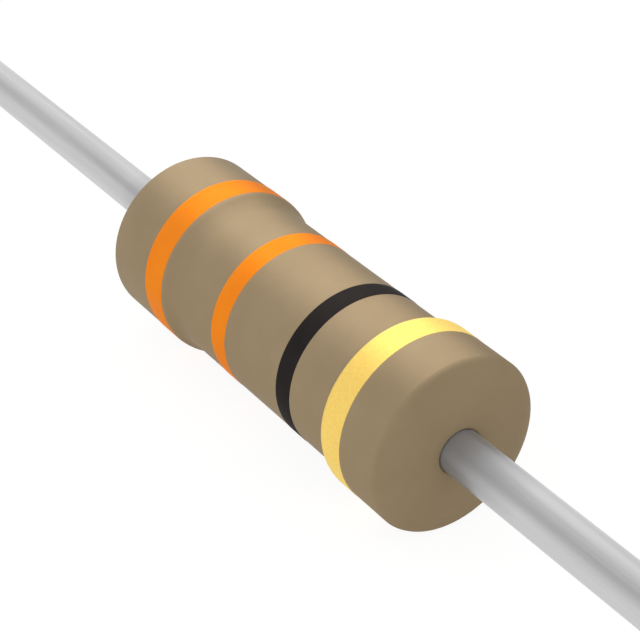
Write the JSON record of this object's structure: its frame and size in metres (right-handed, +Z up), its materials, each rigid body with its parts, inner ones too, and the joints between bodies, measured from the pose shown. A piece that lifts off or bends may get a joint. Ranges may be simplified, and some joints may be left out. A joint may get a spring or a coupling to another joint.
{
  "type": "axial resistor",
  "caption": "Axial-leaded carbon film resistor with a tan dog-bone body, painted colour bands and straight tinned wire leads.",
  "frame": {"origin": "centre of the lacquered body, on the lead axis", "axes": "+X along the leads, towards the end with the tolerance band; +Z up when the part lies on a table"},
  "size_m": [0.0622, 0.0024, 0.0024],
  "materials": {
    "ceramic": "matte",
    "carbon": "satin",
    "cap_steel": "satin",
    "tinned_wire": "satin",
    "tan_lacquer": "satin",
    "orange_paint": "satin",
    "black_paint": "satin",
    "gold_paint": "satin"
  },
  "bodies": {
    "root": {"ceramic_rod": "ceramic", "carbon_film": "carbon", "end_cap_left": "cap_steel", "end_cap_right": "cap_steel", "lead_left": "tinned_wire", "lead_right": "tinned_wire", "coating": "tan_lacquer", "first_digit_band": "orange_paint", "second_digit_band": "orange_paint", "multiplier_band": "black_paint", "tolerance_band": "gold_paint"}
  },
  "joints": []
}
